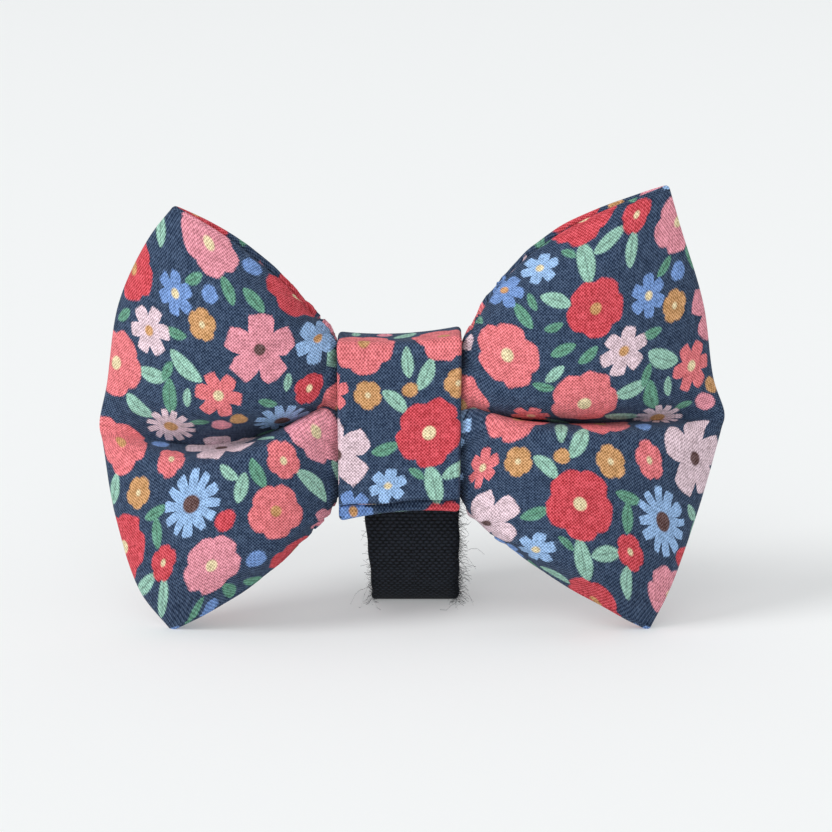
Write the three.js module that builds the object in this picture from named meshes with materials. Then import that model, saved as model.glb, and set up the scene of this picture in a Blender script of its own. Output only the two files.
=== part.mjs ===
// A pet's bow tie that slides onto a collar, in millimetres: +Z up, +Y towards the back, +X to the viewer's right.
// A ring of doubled cloth is pinched in the middle by a cloth knot, and its two lobes are the wings. A loop of
// hook-and-loop tape is sewn to the back of the knot. The bow leans back a little, and stands on the two lower
// tips of its wings and on the tape behind them.
import * as THREE from "three";

const CLOTH = 1.6; // two plies of printed cotton with an interlining between them
const TAPE = 1.5;
const GAP = 0.35; // between neighbouring pieces
const MIDDLE_Z = 42; // height of the pinch above the floor
const LEAN = 8; // degrees that the bow leans back
const FLOOR_DENT = 0.4; // how far soft cloth is flattened where it rests

// The knot narrows towards its foot, and its edges flare and lie a little askew.
const KNOT = { width: 24.4, height: 35, front: 9.6, back: 6.6, thickness: 1.7, flare: 0.8, taper: 0.035, askew: 0.045 };
const WAIST = { halfHeight: 13.4, squeeze: 0.66, clear: 0.7 }; // the bow's cloth inside the knot
const NECK_X = 15; // where the cloth has opened out again beside the knot
const NOSE = 9; // how sharply a wing's outer fold turns: a high power is a tight fold
const BACK_SHARE = 0.72; // how far the back of a wing puffs, as a share of its front

// The fold lines of each wing's front, from its top edge down to its bottom edge. Each line leaves the neck at
// (neckOut forward, neckZ up) and reaches the outer fold at (foldX outward, foldZ up). On its way it rises by arch
// in the front view, and puffs forward by puff beyond the straight line from neckOut to foldOut.
const LEFT_WING = {
  side: -1,
  archAt: 0.5,
  lines: [
    { line: "top edge", neckOut: 2.5, neckZ: 60.8, foldX: 44.4, foldZ: 84.4, foldOut: 1.5, arch: 3.0, puff: 4.5 },
    { line: "top hem", neckOut: 6.0, neckZ: 59.2, foldX: 49.5, foldZ: 77.5, foldOut: 3.5, arch: 2.0, puff: 6.5 },
    { line: "upper crown", neckOut: 7.6, neckZ: 54.5, foldX: 55.4, foldZ: 65.0, foldOut: 5.0, arch: 0.5, puff: 6.5 },
    { line: "upper slope", neckOut: 6.0, neckZ: 47.8, foldX: 57.9, foldZ: 49.0, foldOut: 4.2, arch: -1.0, puff: 3.5 },
    { line: "valley", neckOut: 1.7, neckZ: 44.0, foldX: 59.4, foldZ: 41.0, foldOut: 2.6, arch: -5.5, puff: 1.0 },
    { line: "ridge", neckOut: 7.2, neckZ: 44.6, foldX: 58.8, foldZ: 37.5, foldOut: 3.4, arch: -6.0, puff: 4.5 },
    { line: "lower crown", neckOut: 7.6, neckZ: 34.5, foldX: 56.4, foldZ: 23.5, foldOut: 5.0, arch: -2.5, puff: 7.0 },
    { line: "bottom hem", neckOut: 6.2, neckZ: 26.0, foldX: 51.6, foldZ: 8.4, foldOut: 3.8, arch: -2.0, puff: 7.0 },
    { line: "bottom edge", neckOut: 3.0, neckZ: 23.6, foldX: 45.4, foldZ: 0.0, foldOut: 1.8, arch: -2.0, puff: 5.0 },
  ],
};
const RIGHT_WING = {
  side: 1,
  archAt: 0.36,
  lines: [
    { line: "top edge", neckOut: 2.5, neckZ: 60.6, foldX: 53.0, foldZ: 88.6, foldOut: 1.2, arch: 6.8, puff: 4.5 },
    { line: "top hem", neckOut: 6.0, neckZ: 59.0, foldX: 55.4, foldZ: 80.0, foldOut: 3.3, arch: 5.0, puff: 6.5 },
    { line: "upper crown", neckOut: 7.6, neckZ: 54.5, foldX: 60.0, foldZ: 65.0, foldOut: 5.0, arch: 2.0, puff: 6.5 },
    { line: "upper slope", neckOut: 6.0, neckZ: 47.6, foldX: 62.2, foldZ: 50.0, foldOut: 4.2, arch: -0.5, puff: 3.5 },
    { line: "valley", neckOut: 1.7, neckZ: 43.6, foldX: 64.4, foldZ: 43.0, foldOut: 2.4, arch: -2.2, puff: 1.0 },
    { line: "ridge", neckOut: 7.2, neckZ: 44.4, foldX: 63.8, foldZ: 40.2, foldOut: 3.4, arch: -1.8, puff: 4.5 },
    { line: "lower crown", neckOut: 7.6, neckZ: 34.5, foldX: 59.0, foldZ: 23.5, foldOut: 5.0, arch: -0.5, puff: 7.0 },
    { line: "bottom hem", neckOut: 6.2, neckZ: 26.0, foldX: 53.6, foldZ: 8.4, foldOut: 3.8, arch: -1.0, puff: 7.0 },
    { line: "bottom edge", neckOut: 3.0, neckZ: 23.6, foldX: 49.6, foldZ: 0.0, foldOut: 1.8, arch: -1.0, puff: 5.0 },
  ],
};

const WING_COLUMNS = 13; // along each front and each back, from the neck to the outer fold
const FLARE_COLUMNS = 2; // between the knot's edge and the neck
const ROWS_PER_LINE = 3; // between two fold lines

// The tape's route in the plane of Y (behind the knot's back) and Z, with the flat stretches straight.
const STRAP = { width: 19.4, centreX: 2.4, footY: 23, footFlat: 5, footBend: 7, backY: 31, backTop: 43, seatClear: 1 };
const HOOK = { top: 54.5, sewnFrom: 40, end: 20, over: 20 };

const lerp = THREE.MathUtils.lerp;
const leanAt = (z) => (z - MIDDLE_Z) * Math.tan(THREE.MathUtils.degToRad(LEAN));

// A bump from 0 through 1 at "peak" to 0, as "t" goes from 0 to 1.
function bump(t, peak) {
  return Math.sin(Math.PI * t ** (Math.log(0.5) / Math.log(peak)));
}

// One fold line's point at share t of the way from the neck to the outer fold, before the bow leans back.
function wingPoint(wing, line, t, isBack) {
  const z = lerp(line.neckZ, line.foldZ, t) + line.arch * bump(t, wing.archAt);
  const nose = Math.sqrt(Math.max(0, 1 - t ** NOSE));
  const puff = line.puff * bump(t, 0.42);
  const front = (lerp(line.neckOut, line.foldOut, t) + puff) * nose;
  const back = (lerp(line.neckOut * WAIST.squeeze, line.foldOut, t) + puff * BACK_SHARE) * nose;
  return new THREE.Vector3(wing.side * lerp(NECK_X, line.foldX, t), isBack ? back : -front, z);
}

// The same line where it runs through the knot, pinched to the height of the waist.
function waistPoint(wing, line, x, isBack) {
  const neck = wingPoint(wing, line, 0, isBack);
  const pinch = WAIST.halfHeight / (wing.lines[0].neckZ - MIDDLE_Z);
  return new THREE.Vector3(x, neck.y * (isBack ? 0.62 : 0.78), MIDDLE_Z + (neck.z - MIDDLE_Z) * pinch);
}

// Where the cloth of one fold line runs, all the way round the ring.
function ringLine(index) {
  const points = [];
  const half = KNOT.width / 2 + WAIST.clear;
  for (const [isBack, order] of [[false, [LEFT_WING, RIGHT_WING]], [true, [RIGHT_WING, LEFT_WING]]]) {
    const [from, to] = order;
    const shares = Array.from({ length: WING_COLUMNS }, (_, k) => Math.sin((Math.PI / 2) * (k / WING_COLUMNS)));
    const inward = [1, ...shares.slice().reverse()].slice(1);
    const fold = wingPoint(from, from.lines[index], 1, isBack);
    points.push(fold, ...inward.map((t) => wingPoint(from, from.lines[index], t, isBack)));
    const edges = [from, to].map((wing) => waistPoint(wing, wing.lines[index], wing.side * half, isBack));
    const necks = [from, to].map((wing) => wingPoint(wing, wing.lines[index], 0, isBack));
    for (let k = 1; k < FLARE_COLUMNS; k++) {
      points.push(necks[0].clone().lerp(edges[0], k / FLARE_COLUMNS));
    }
    points.push(edges[0], edges[0].clone().lerp(edges[1], 0.5), edges[1]);
    for (let k = 1; k < FLARE_COLUMNS; k++) {
      points.push(edges[1].clone().lerp(necks[1], k / FLARE_COLUMNS));
    }
    points.push(...shares.map((t) => wingPoint(to, to.lines[index], t, isBack)));
  }
  return points;
}

// The ring's middle surface: grid[column][row], with the columns closing on themselves.
function ringGrid() {
  const lines = LEFT_WING.lines.map((_, index) => ringLine(index));
  const rows = (lines.length - 1) * ROWS_PER_LINE + 1;
  return lines[0].map((_, column) => {
    const section = new THREE.CatmullRomCurve3(lines.map((line) => line[column]), false, "centripetal");
    return Array.from({ length: rows }, (_, row) => section.getPoint(row / (rows - 1)));
  });
}

// The normal of a grid of points, from its neighbours. A closed grid's columns wrap round.
function normalAt(grid, column, row, closed) {
  const last = grid.length - 1;
  const before = grid[closed ? (column + last) % grid.length : Math.max(column - 1, 0)];
  const after = grid[closed ? (column + 1) % grid.length : Math.min(column + 1, last)];
  const here = grid[column];
  const along = after[row].clone().sub(before[row]);
  const across = here[Math.min(row + 1, here.length - 1)].clone().sub(here[Math.max(row - 1, 0)]);
  return across.cross(along).normalize();
}

// A wall of even thickness about a grid of points, as one closed mesh. Soft cloth is flattened on the floor.
function wallGeometry(grid, thickness, closed) {
  const columns = grid.length;
  const rows = grid[0].length;
  const positions = [];
  for (const side of [1, -1]) {
    for (let i = 0; i < columns; i++) {
      for (let j = 0; j < rows; j++) {
        const p = grid[i][j].clone().addScaledVector(normalAt(grid, i, j, closed), (side * thickness) / 2);
        positions.push(p.x, p.y + leanAt(p.z), Math.max(p.z - FLOOR_DENT, 0));
      }
    }
  }
  const id = (face, i, j) => (face * columns + (i % columns)) * rows + j;
  const triangles = [];
  const quad = (a, b, c, d) => triangles.push(a, b, c, a, c, d);
  const cells = closed ? columns : columns - 1;
  for (let i = 0; i < cells; i++) {
    for (let j = 0; j < rows - 1; j++) {
      quad(id(0, i, j), id(0, i, j + 1), id(0, i + 1, j + 1), id(0, i + 1, j));
      quad(id(1, i, j), id(1, i + 1, j), id(1, i + 1, j + 1), id(1, i, j + 1));
    }
    quad(id(0, i, 0), id(0, i + 1, 0), id(1, i + 1, 0), id(1, i, 0));
    quad(id(0, i, rows - 1), id(1, i, rows - 1), id(1, i + 1, rows - 1), id(0, i + 1, rows - 1));
  }
  if (!closed) {
    for (let j = 0; j < rows - 1; j++) {
      quad(id(0, 0, j), id(1, 0, j), id(1, 0, j + 1), id(0, 0, j + 1));
      quad(id(0, cells, j), id(0, cells, j + 1), id(1, cells, j + 1), id(1, cells, j));
    }
  }
  const geometry = new THREE.BufferGeometry();
  geometry.setAttribute("position", new THREE.Float32BufferAttribute(positions, 3));
  geometry.setIndex(triangles);
  geometry.computeVertexNormals();
  return geometry;
}

// The knot's section in Y and Z: a flat front with a crease under it, and rounded corners elsewhere.
function knotSection(grow) {
  const top = MIDDLE_Z + KNOT.height / 2 + grow;
  const bottom = MIDDLE_Z - KNOT.height / 2 - grow;
  const wall = KNOT.thickness / 2;
  const front = -KNOT.front + wall - grow * 0.3;
  const back = KNOT.back - wall + grow * 0.3;
  const outline = new THREE.Shape();
  outline.moveTo(front, MIDDLE_Z);
  outline.lineTo(front, top - 3);
  outline.quadraticCurveTo(front, top, front + 3, top - wall);
  outline.lineTo(back - 3, top - wall);
  outline.quadraticCurveTo(back, top - wall, back, top - 4);
  outline.lineTo(back, bottom + 5);
  outline.quadraticCurveTo(back, bottom + wall, back - 4, bottom + wall);
  outline.lineTo(front + 5, bottom + wall);
  outline.lineTo(front, bottom + 3.4);
  outline.closePath();
  return outline.getPoints(4).map((p) => new THREE.Vector2(p.x, p.y));
}

function knotGrid() {
  const stations = [-1, -0.8, -0.4, 0.4, 0.8, 1];
  return stations.map((share) => {
    const x = (share * KNOT.width) / 2;
    const narrowed = (z) => x * (1 + KNOT.taper * Math.sin((z - MIDDLE_Z) / KNOT.height));
    return knotSection(KNOT.flare * (share ** 2 - 1)).map(
      (p) => new THREE.Vector3(narrowed(p.y), p.x, p.y + KNOT.askew * x),
    );
  });
}

// Turns a grid's columns into its rows.
function turned(grid) {
  return grid[0].map((_, row) => grid.map((column) => column[row]));
}

// A tape that follows a route in Y and Z, as a flat band along X.
function tapeGrid(route) {
  const edges = [STRAP.centreX - STRAP.width / 2, STRAP.centreX + STRAP.width / 2];
  return route.map((p) => edges.map((x) => new THREE.Vector3(x, p.x, p.y)));
}

// The soft-sided tape: sewn flat down the knot's back, under it to the floor, and up behind.
function loopTapeRoute() {
  const seatY = KNOT.back + GAP + TAPE / 2;
  const foot = TAPE / 2 + FLOOR_DENT / 2;
  const path = new THREE.Path();
  path.moveTo(seatY, MIDDLE_Z + 15);
  path.lineTo(seatY, HOOK.sewnFrom - STRAP.seatClear);
  path.lineTo(seatY, MIDDLE_Z - 14);
  const [flatFrom, flatTo] = [STRAP.footY - STRAP.footFlat / 2, STRAP.footY + STRAP.footFlat / 2];
  path.bezierCurveTo(seatY, 14, flatFrom - STRAP.footBend, foot, flatFrom, foot);
  path.lineTo(flatTo, foot);
  path.bezierCurveTo(flatTo + STRAP.footBend * 0.75, foot, STRAP.backY + 1, 10, STRAP.backY, 28);
  path.quadraticCurveTo(STRAP.backY - 0.5, 38, STRAP.backY - 2.5, STRAP.backTop);
  return path.getPoints(9);
}

// The hooked tape: sewn over the first one's upper end, over to the back, and down inside the loop.
function hookTapeRoute() {
  const seatY = KNOT.back + 2 * GAP + 1.5 * TAPE;
  const inside = TAPE + 0.6;
  const path = new THREE.Path();
  path.moveTo(seatY, HOOK.sewnFrom);
  path.lineTo(seatY, HOOK.sewnFrom + 5);
  path.quadraticCurveTo(seatY, HOOK.top, HOOK.over, HOOK.top);
  path.quadraticCurveTo(STRAP.backY - inside - 3.5, HOOK.top, STRAP.backY - inside - 2.5, STRAP.backTop);
  path.quadraticCurveTo(STRAP.backY - inside - 0.5, 38, STRAP.backY - inside, 28);
  path.lineTo(STRAP.backY - inside + 0.3, HOOK.end);
  return path.getPoints(7);
}

function piece(name, geometry, color, roughness) {
  const material = new THREE.MeshStandardMaterial({ color, roughness, metalness: 0 });
  const mesh = new THREE.Mesh(geometry, material);
  mesh.name = name;
  return mesh;
}

const bowTie = new THREE.Group();
bowTie.add(
  piece("bow_ring", wallGeometry(ringGrid(), CLOTH, true), 0x2b3d59, 0.9),
  piece("knot_band", wallGeometry(turned(knotGrid()), KNOT.thickness, true), 0x2b3d59, 0.9),
  piece("strap_loop_tape", wallGeometry(tapeGrid(loopTapeRoute()), TAPE, false), 0x14161c, 0.85),
  piece("strap_hook_tape", wallGeometry(tapeGrid(hookTapeRoute()), TAPE, false), 0x14161c, 0.7),
);

// The origin is on the floor, under the middle of the whole bow tie.
const box = new THREE.Box3().setFromObject(bowTie);
const middle = box.getCenter(new THREE.Vector3());
bowTie.position.set(-middle.x, -middle.y, -box.min.z);

export default bowTie;
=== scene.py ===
import math
import random

import bmesh
import bpy
import numpy as np
from bpy.props import FloatProperty, FloatVectorProperty, IntProperty, PointerProperty
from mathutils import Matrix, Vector


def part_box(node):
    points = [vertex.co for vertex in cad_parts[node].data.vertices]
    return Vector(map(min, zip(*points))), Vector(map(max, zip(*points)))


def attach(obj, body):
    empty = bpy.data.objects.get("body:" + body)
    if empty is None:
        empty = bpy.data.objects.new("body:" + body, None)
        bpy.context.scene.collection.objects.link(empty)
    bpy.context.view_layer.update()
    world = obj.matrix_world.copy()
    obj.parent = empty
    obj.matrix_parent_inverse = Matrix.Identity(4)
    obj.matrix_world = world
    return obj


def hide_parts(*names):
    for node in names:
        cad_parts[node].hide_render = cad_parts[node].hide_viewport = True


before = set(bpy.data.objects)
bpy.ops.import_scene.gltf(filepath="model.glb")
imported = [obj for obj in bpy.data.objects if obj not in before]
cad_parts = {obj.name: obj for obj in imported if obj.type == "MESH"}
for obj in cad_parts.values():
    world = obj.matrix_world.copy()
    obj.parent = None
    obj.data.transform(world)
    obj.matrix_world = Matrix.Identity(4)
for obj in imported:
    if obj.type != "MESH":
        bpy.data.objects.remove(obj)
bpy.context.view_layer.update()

bl_info = {
    "name": "Pet Bow Tie",
    "version": (1, 0, 0),
    "blender": (4, 5, 0),
    "location": "View3D > Sidebar > Bow Tie",
    "description": "Sews a printed cotton bow tie for a pet's collar round its packed solids",
    "category": "Add Mesh",
}

MM = 0.001

# ---------------------------------------------------------------------------
# The cut and the folds, in millimetres: +Z up, +Y towards the strap behind.
# ---------------------------------------------------------------------------

MIDDLE_Z = 42.0  # height of the pinch
LEAN = math.tan(math.radians(8))  # of the whole bow, backwards
FLOOR_DENT = 0.4  # how far the floor flattens soft cloth
KNOT = dict(
    width=24.4, height=35.0, front=9.6, back=6.6, wall=1.7,
    flare=0.8, flare_depth=0.3, taper=0.035, askew=0.045,
)
KNOT_ROUNDS = dict(top=3.0, back=4.0, foot=5.0)  # how far the roundings of the knot's section reach
WAIST = dict(half_height=13.4, squeeze=0.66, opens_from=11.9, front_share=0.78, back_share=0.62)
NECK_X = 15.0  # where the wings leave the knot
NOSE = 9  # how bluntly a wing turns at its outer fold
PUFF_AT = 0.42  # of a wing's length, where it puffs out most
CLOTH = 1.6  # thickness of the doubled cloth
TAPE = 1.5  # thickness of a tape
TAPE_GAP = 0.35  # between a tape and what it lies on

# What each piece was cut to before it was sewn, in metres.
LOOP_TAPE_CUT = (0.0194, 0.110)
HOOK_TAPE_CUT = (0.0194, 0.0586)

# Each fold line leaves the neck at (neck_out, neck_z) and ends on the outer fold, at (fold_x, fold_z,
# fold_out). Between them it arches up and puffs out, and the back has its own share of the puff.
LINE_COLUMNS = ("neck_out", "neck_z", "fold_x", "fold_z", "fold_out", "arch", "puff", "back_share")
LEFT_WING = dict(
    side=-1,
    arch_at=0.5,
    lines=dict(
        top_edge=(2.3, 60.4, 44.4, 84.0, 1.4, 3.0, 2.6, 0.25),
        top_hem=(5.6, 59.0, 49.5, 77.5, 3.3, 2.0, 5.8, 0.62),
        upper_crown=(7.6, 54.7, 55.4, 65.0, 5.0, 0.5, 6.8, 0.72),
        upper_slope=(7.4, 48.0, 57.9, 48.8, 4.6, -1.4, 5.6, 0.72),
        valley=(1.3, 44.4, 59.4, 41.0, 1.8, -5.5, -0.4, 0.9),
        ridge=(7.8, 45.0, 58.8, 37.9, 4.0, -6.0, 6.4, 0.72),
        lower_crown=(7.6, 34.5, 56.4, 23.5, 5.0, -2.5, 7.0, 0.72),
        bottom_hem=(6.0, 26.0, 51.6, 8.4, 3.8, -2.0, 6.6, 0.62),
        bottom_edge=(2.8, 24.0, 45.4, 0.4, 1.6, -2.0, 3.4, 0.3),
    ),
)
RIGHT_WING = dict(
    side=1,
    arch_at=0.36,
    lines=dict(
        top_edge=(2.3, 60.2, 53.0, 88.2, 1.2, 6.8, 2.6, 0.25),
        top_hem=(5.6, 58.8, 55.4, 80.0, 3.1, 5.0, 5.8, 0.62),
        upper_crown=(7.6, 54.7, 60.0, 65.0, 5.0, 2.0, 6.8, 0.72),
        upper_slope=(7.4, 47.8, 62.2, 49.8, 4.6, -0.8, 5.6, 0.72),
        valley=(1.3, 44.0, 64.4, 43.0, 1.8, -2.2, -0.4, 0.9),
        ridge=(7.8, 44.8, 63.8, 40.6, 4.0, -1.8, 6.4, 0.72),
        lower_crown=(7.6, 34.5, 59.0, 23.5, 5.0, -0.5, 7.0, 0.72),
        bottom_hem=(6.0, 26.0, 53.6, 8.4, 3.8, -1.0, 6.6, 0.62),
        bottom_edge=(2.8, 24.0, 49.6, 0.4, 1.6, -1.0, 3.4, 0.3),
    ),
)
ROWS_PER_SPAN = (8, 12, 14, 9, 7, 12, 14, 10)  # mesh rows between one fold line and the next
VALLEY = 4  # the fold line from which heights on the cloth are measured
WING_COLUMNS = 60
BACK_CUT_AT = 136.0  # u in the middle of the knot's back
WAIST_COLUMNS = 6
OPENING_COLUMNS = 8
RIM_STEPS = 5


def bump(t, peak):
    """0 through 1 at peak to 0, as t goes from 0 to 1."""
    return np.sin(np.pi * t ** (math.log(0.5) / math.log(peak)))


def smooth(t):
    """0 to 1 with level ends."""
    t = np.clip(t, 0.0, 1.0)
    return t * t * (3 - 2 * t)


def stack(x, y, z):
    return np.stack(np.broadcast_arrays(x, y, z), axis=-1).astype(float)


def wing_line(wing, values, t, is_back):
    """Points along one fold line, at shares t of the way from the neck to the outer fold."""
    line = dict(zip(LINE_COLUMNS, values))
    z = line["neck_z"] + (line["fold_z"] - line["neck_z"]) * t + line["arch"] * bump(t, wing["arch_at"])
    nose = np.sqrt(np.maximum(0.0, 1 - t**NOSE))
    puff = line["puff"] * bump(t, PUFF_AT)
    neck_out = line["neck_out"] * (WAIST["squeeze"] if is_back else 1.0)
    out = neck_out + (line["fold_out"] - neck_out) * t + puff * (line["back_share"] if is_back else 1.0)
    y = out * nose * (1 if is_back else -1)
    return stack(wing["side"] * (NECK_X + (line["fold_x"] - NECK_X) * t), y, z)


def waist_line(wing, values, x, is_back):
    """The same line inside the knot, pinched to the waist, and opening out beside the knot."""
    neck = wing_line(wing, values, np.array([0.0]), is_back)[0]
    top_neck_z = wing["lines"]["top_edge"][1]
    pinch = WAIST["half_height"] / (top_neck_z - MIDDLE_Z)
    waist_y = neck[1] * WAIST["back_share" if is_back else "front_share"]
    waist_z = MIDDLE_Z + (neck[2] - MIDDLE_Z) * pinch
    opened = smooth((x - WAIST["opens_from"]) / (NECK_X - WAIST["opens_from"]))
    y = waist_y + (neck[1] - waist_y) * opened
    z = waist_z + (neck[2] - waist_z) * opened
    return stack(wing["side"] * x, y, z)


def half_ring(wing):
    """One lobe's fold lines, from the middle of the knot's front round to the middle of its back."""
    inner = np.linspace(0, WAIST["opens_from"], WAIST_COLUMNS, endpoint=False)
    opening = np.linspace(WAIST["opens_from"], NECK_X, OPENING_COLUMNS, endpoint=False)
    x = np.concatenate([inner, opening])
    t = np.sin(np.linspace(0, np.pi / 2, WING_COLUMNS + 1))
    lines = []
    for values in wing["lines"].values():
        front = [waist_line(wing, values, x, False), wing_line(wing, values, t, False)]
        back = [wing_line(wing, values, t[-2::-1], True), waist_line(wing, values, x[::-1], True)]
        lines.append(np.concatenate(front + back))
    return np.array(lines)


def spline_rows(lines, rows_per_span):
    """A centripetal Catmull-Rom spline across the fold lines, as a grid with more rows."""
    ends = np.concatenate([[2 * lines[0] - lines[1]], lines, [2 * lines[-1] - lines[-2]]])
    gaps = np.maximum(np.linalg.norm(np.diff(ends, axis=0), axis=2, keepdims=True), 1e-6) ** 0.5
    rows = []
    for k, steps in enumerate(rows_per_span):
        p0, p1, p2, p3 = ends[k : k + 4]
        d0, d1, d2 = gaps[k : k + 3]
        leaving = ((p1 - p0) / d0 - (p2 - p0) / (d0 + d1) + (p2 - p1) / d1) * d1
        arriving = ((p2 - p1) / d1 - (p3 - p1) / (d1 + d2) + (p3 - p2) / d2) * d1
        for w in np.arange(steps) / steps:
            cubed = (2 * p1 - 2 * p2 + leaving + arriving) * w**3
            squared = (3 * p2 - 3 * p1 - 2 * leaving - arriving) * w**2
            rows.append(cubed + squared + leaving * w + p1)
    rows.append(lines[-1])
    return np.array(rows)


def step_lengths(points, axis, parts):
    """Lengths of the steps along an axis of a grid of points, counting only the given coordinates."""
    return np.linalg.norm(np.diff(points[..., parts], axis=axis), axis=-1)


def bow_surface():
    """The bow cloth's middle surface, and the cloth's own coordinates at each point.

    u runs along the ring from the middle of the knot. v is the height along the valley, and runs up and down
    the cloth from there. On the flat of a wing they are the sideways and upward distances. The back is
    measured from its own neck, which keeps its weave square there, so its print starts anew at the outer fold.
    """
    halves, us = [], []
    for wing in (LEFT_WING, RIGHT_WING):
        half = spline_rows(half_ring(wing), ROWS_PER_SPAN)
        steps = step_lengths(half, 1, [0, 1])
        gone = np.concatenate([np.zeros((len(half), 1)), np.cumsum(steps, axis=1)], axis=1)
        neck = WAIST_COLUMNS + OPENING_COLUMNS
        fold, back_neck = neck + WING_COLUMNS, neck + 2 * WING_COLUMNS
        u = gone - gone[:, neck : neck + 1] + NECK_X
        u[:, fold + 1 :] = BACK_CUT_AT - NECK_X - (gone[:, back_neck : back_neck + 1] - gone[:, fold + 1 :])
        u[:, :neck] = np.abs(half[:, :neck, 0])
        u[:, back_neck:] = BACK_CUT_AT - np.abs(half[:, back_neck:, 0])
        halves.append(half)
        us.append(u * wing["side"])
    mid = np.concatenate([halves[0][:, :0:-1], halves[1]], axis=1)
    u = np.concatenate([us[0][:, :0:-1], us[1]], axis=1)
    valley = sum(ROWS_PER_SPAN[:VALLEY])
    steps = step_lengths(mid, 0, [1, 2])
    run = np.concatenate([np.zeros((1, mid.shape[1])), np.cumsum(steps, axis=0)], axis=0)
    v = mid[valley, :, 2] - (run - run[valley])
    return mid, u, v


def surface_normals(mid, closed):
    """Unit normals of a grid of points. A closed grid's first and last columns are the same place."""
    across = np.gradient(mid, axis=0)
    if closed:
        padded = np.concatenate([mid[:, -2:-1], mid, mid[:, 1:2]], axis=1)
        along = (padded[:, 2:] - padded[:, :-2]) / 2
    else:
        along = np.gradient(mid, axis=1)
    normals = np.cross(across, along)
    return normals / np.maximum(np.linalg.norm(normals, axis=2, keepdims=True), 1e-9)


def shell(mid, run, thickness, closed):
    """The outline of a wall about a middle surface, row after row, with rounded rims.

    It starts and ends on the inner side, half-way down, where the cloth's own seam is. run is the coordinate
    of the cloth that changes from row to row, and it goes on over the rims.
    """
    normals = surface_normals(mid, closed)
    half = thickness / 2
    middle = len(mid) // 2
    rim_length = np.pi * half
    turns = np.pi * np.arange(1, RIM_STEPS + 1) / (RIM_STEPS + 1)
    points, runs = [], []

    def inner(rows, end):
        past = run[end] + np.sign(run[end] - run[middle]) * rim_length
        for j in rows:
            points.append(mid[j] - normals[j] * half)
            runs.append(past + (run[end] - run[j]))

    def rim(end, neighbour, angles):
        edge = mid[end] - mid[neighbour]
        edge /= np.maximum(np.linalg.norm(edge, axis=1, keepdims=True), 1e-9)
        away = np.sign(run[end] - run[middle])
        for a in angles:
            points.append(mid[end] + half * (normals[end] * np.cos(a) + edge * np.sin(a)))
            runs.append(run[end] + away * half * a)

    inner(range(middle, -1, -1), 0)
    rim(0, 1, turns[::-1])
    for j in range(len(mid)):
        points.append(mid[j] + normals[j] * half)
        runs.append(run[j])
    rim(-1, -2, turns)
    inner(range(len(mid) - 1, middle - 1, -1), -1)
    return np.array(points), np.array(runs)


# ---------------------------------------------------------------------------
# From millimetres in the bow's own frame to the CAD's frame in metres.
# ---------------------------------------------------------------------------


def quadratic(start, control, end, steps):
    w = np.linspace(0, 1, steps + 1)[:, None]
    return np.array(start) * (1 - w) ** 2 + 2 * np.array(control) * w * (1 - w) + np.array(end) * w**2


def cubic(start, control_1, control_2, end, steps):
    w = np.linspace(0, 1, steps + 1)[:, None]
    near, far = np.array(start) * (1 - w) + 3 * np.array(control_1) * w, 3 * np.array(control_2) * (1 - w)
    return near * (1 - w) ** 2 + (far + np.array(end) * w) * w**2


# The last corners of the knot's section: how far in from its front, and how far up from its foot.
CAD_FOOT = ((5.0, 0.85), (0.0, 3.4))  # the solid's
SEWN_FOOT = ((3.2, 0.7), (1.0, 0.9), (0.2, 2.0))  # the cloth's, whose front hangs lower
RIM_REACH = 0.95  # of half the knot's wall, how far the rim at the lowest corner comes forward


def knot_section(grow, foot, round_steps=4):
    """The knot wall's middle line in Y and Z: a flat front and rounded corners elsewhere."""
    top = MIDDLE_Z + KNOT["height"] / 2 + grow
    bottom = MIDDLE_Z - KNOT["height"] / 2 - grow
    wall = KNOT["wall"] / 2
    front = -KNOT["front"] + wall - grow * KNOT["flare_depth"]
    back = KNOT["back"] - wall + grow * KNOT["flare_depth"]
    high, low = top - wall, bottom + wall
    top_round, back_round, foot_round = KNOT_ROUNDS["top"], KNOT_ROUNDS["back"], KNOT_ROUNDS["foot"]
    corners = [
        [(front, MIDDLE_Z)],
        quadratic((front, top - top_round), (front, top), (front + top_round, high), round_steps),
        quadratic((back - top_round, high), (back, high), (back, top - back_round), round_steps),
        quadratic((back, bottom + foot_round), (back, low), (back - back_round, low), round_steps),
        [(front + inward, bottom + up) for inward, up in foot],
    ]
    return np.concatenate([np.array(c, float) for c in corners])


def leaned(points):
    """The bow leans back, and soft cloth is flattened where it meets the floor."""
    x, y, z = np.moveaxis(points, -1, 0)
    return stack(x, y + (z - MIDDLE_Z) * LEAN, np.maximum(z - FLOOR_DENT, 0.0))


def frame_shift():
    """What takes the bow's own frame to the CAD's, from where the CAD's knot is."""
    low, high = (np.array(corner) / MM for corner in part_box("knot_band"))
    section = knot_section(0.0, CAD_FOOT)
    edge = -KNOT["askew"] * KNOT["width"] / 2
    corner = leaned(np.array([[0.0, section[:, 0].min(), section[:, 1].min() + edge]]))[0]
    lowest_front = section[-1]
    front = leaned(np.array([[0.0, lowest_front[0], lowest_front[1] + edge]]))[0][1]
    wall = KNOT["wall"] / 2
    middle_x = (low[0] + high[0]) / 2
    return np.array([middle_x, low[1] - (front - wall * RIM_REACH), low[2] - (corner[2] - wall)])


SHIFT = frame_shift()


def placed(points):
    """Millimetres in the bow's own frame to metres in the CAD's."""
    return (leaned(points) + SHIFT) * MM


def linear(red, green, blue):
    """A screen colour, 0 to 255, as linear light."""
    parts = np.array([red, green, blue]) / 255
    light = np.where(parts <= 0.04045, parts / 12.92, ((parts + 0.055) / 1.055) ** 2.4)
    return tuple(float(c) for c in light)


# ---------------------------------------------------------------------------
# Making meshes out of grids of points
# ---------------------------------------------------------------------------


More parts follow.
